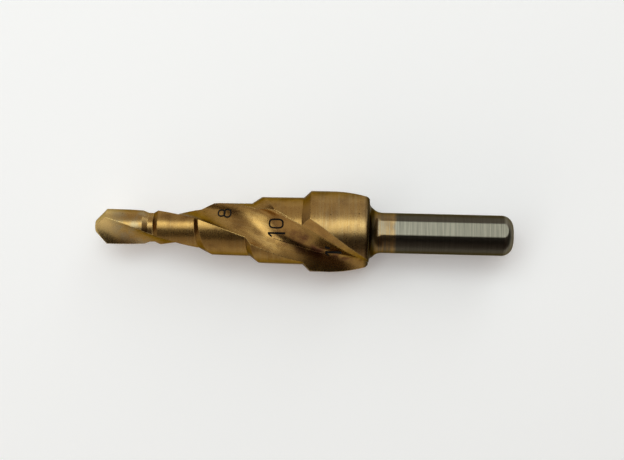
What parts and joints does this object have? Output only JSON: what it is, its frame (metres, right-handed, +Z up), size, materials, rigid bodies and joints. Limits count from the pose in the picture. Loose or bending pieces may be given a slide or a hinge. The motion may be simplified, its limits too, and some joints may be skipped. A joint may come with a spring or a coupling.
{
  "type": "step drill",
  "caption": "Gold-coated steel step drill with a rounded pilot, stepped helical-fluted body for enlarging holes in sheet metal, and a slim flatted shank for a drill chuck.",
  "frame": {"origin": "middle of the flat end of the shank", "axes": "+X along the drill's axis, out of the shank's end, so the point lies towards -X; +Z up as the drill lies on its largest step; +Y completes the right-handed frame"},
  "size_m": [0.062, 0.012, 0.012],
  "materials": {
    "coated_steel": "ground high-speed steel under a worn titanium nitride coating, bare on the shank"
  },
  "bodies": {
    "root": {"step_drill": "coated_steel"}
  },
  "joints": []
}
